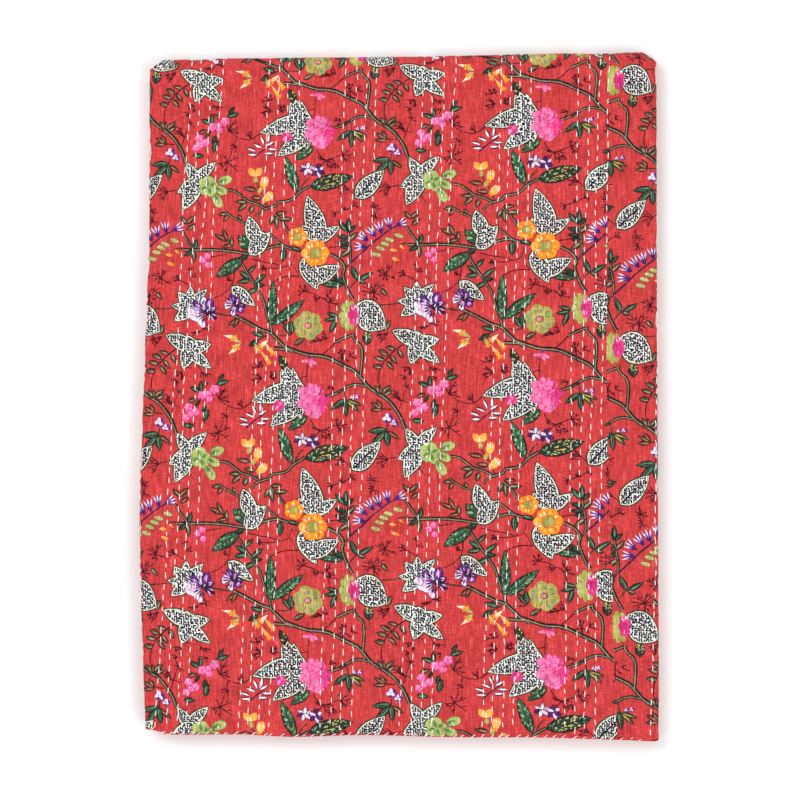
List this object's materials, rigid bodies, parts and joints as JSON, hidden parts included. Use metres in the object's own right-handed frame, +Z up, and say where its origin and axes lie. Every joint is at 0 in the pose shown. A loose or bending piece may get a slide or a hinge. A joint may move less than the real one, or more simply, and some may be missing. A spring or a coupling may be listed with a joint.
{
  "type": "kantha quilt",
  "caption": "Folded kantha quilt in printed red cotton, quilted in rows of running stitch, lying flat as a rectangular stack with a fold along the top and hems along the bottom.",
  "frame": {"origin": "centre of the folded stack's underside, on the surface it rests on", "axes": "+Z up through the layers; +Y along the stack's length from the hems to the top fold; +X to the right-hand fold, seen from above"},
  "size_m": [0.5812, 0.7703, 0.0266],
  "materials": {
    "printed_cotton": "matt washed cotton, red ground with a small-scale trailing flower print, quilted in rows"
  },
  "bodies": {
    "root": {"quilt": "printed_cotton"}
  },
  "joints": []
}
